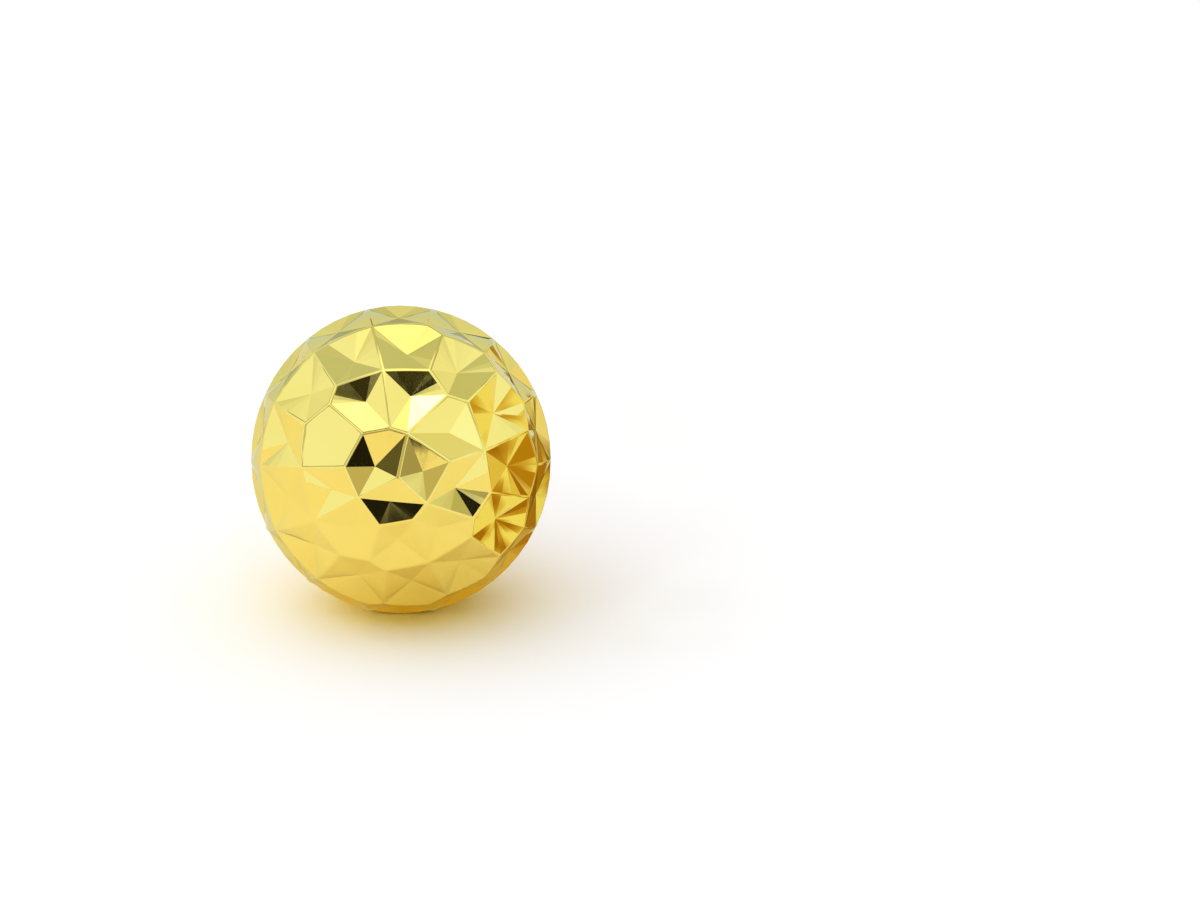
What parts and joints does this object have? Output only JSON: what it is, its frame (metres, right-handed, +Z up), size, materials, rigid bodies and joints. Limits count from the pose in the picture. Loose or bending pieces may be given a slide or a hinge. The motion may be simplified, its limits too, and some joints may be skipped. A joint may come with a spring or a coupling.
{
  "type": "ball stud earring",
  "caption": "Hollow gold ball stud whose surface is a net of low ridges round small faceted pits, on a straight ear post with a round collar.",
  "frame": {"origin": "on the surface that the earring lies on, below the middle of its overall box", "axes": "+Z up, +Y from the front of the ball back along the post to its tip, +X to the right as seen from the front"},
  "size_m": [0.008, 0.0182, 0.008],
  "materials": {
    "polished_gold": "mirror polished yellow gold",
    "post_gold": "drawn and polished yellow gold"
  },
  "bodies": {
    "root": {"faceted_ball": "polished_gold", "ear_post": "post_gold"}
  },
  "joints": []
}
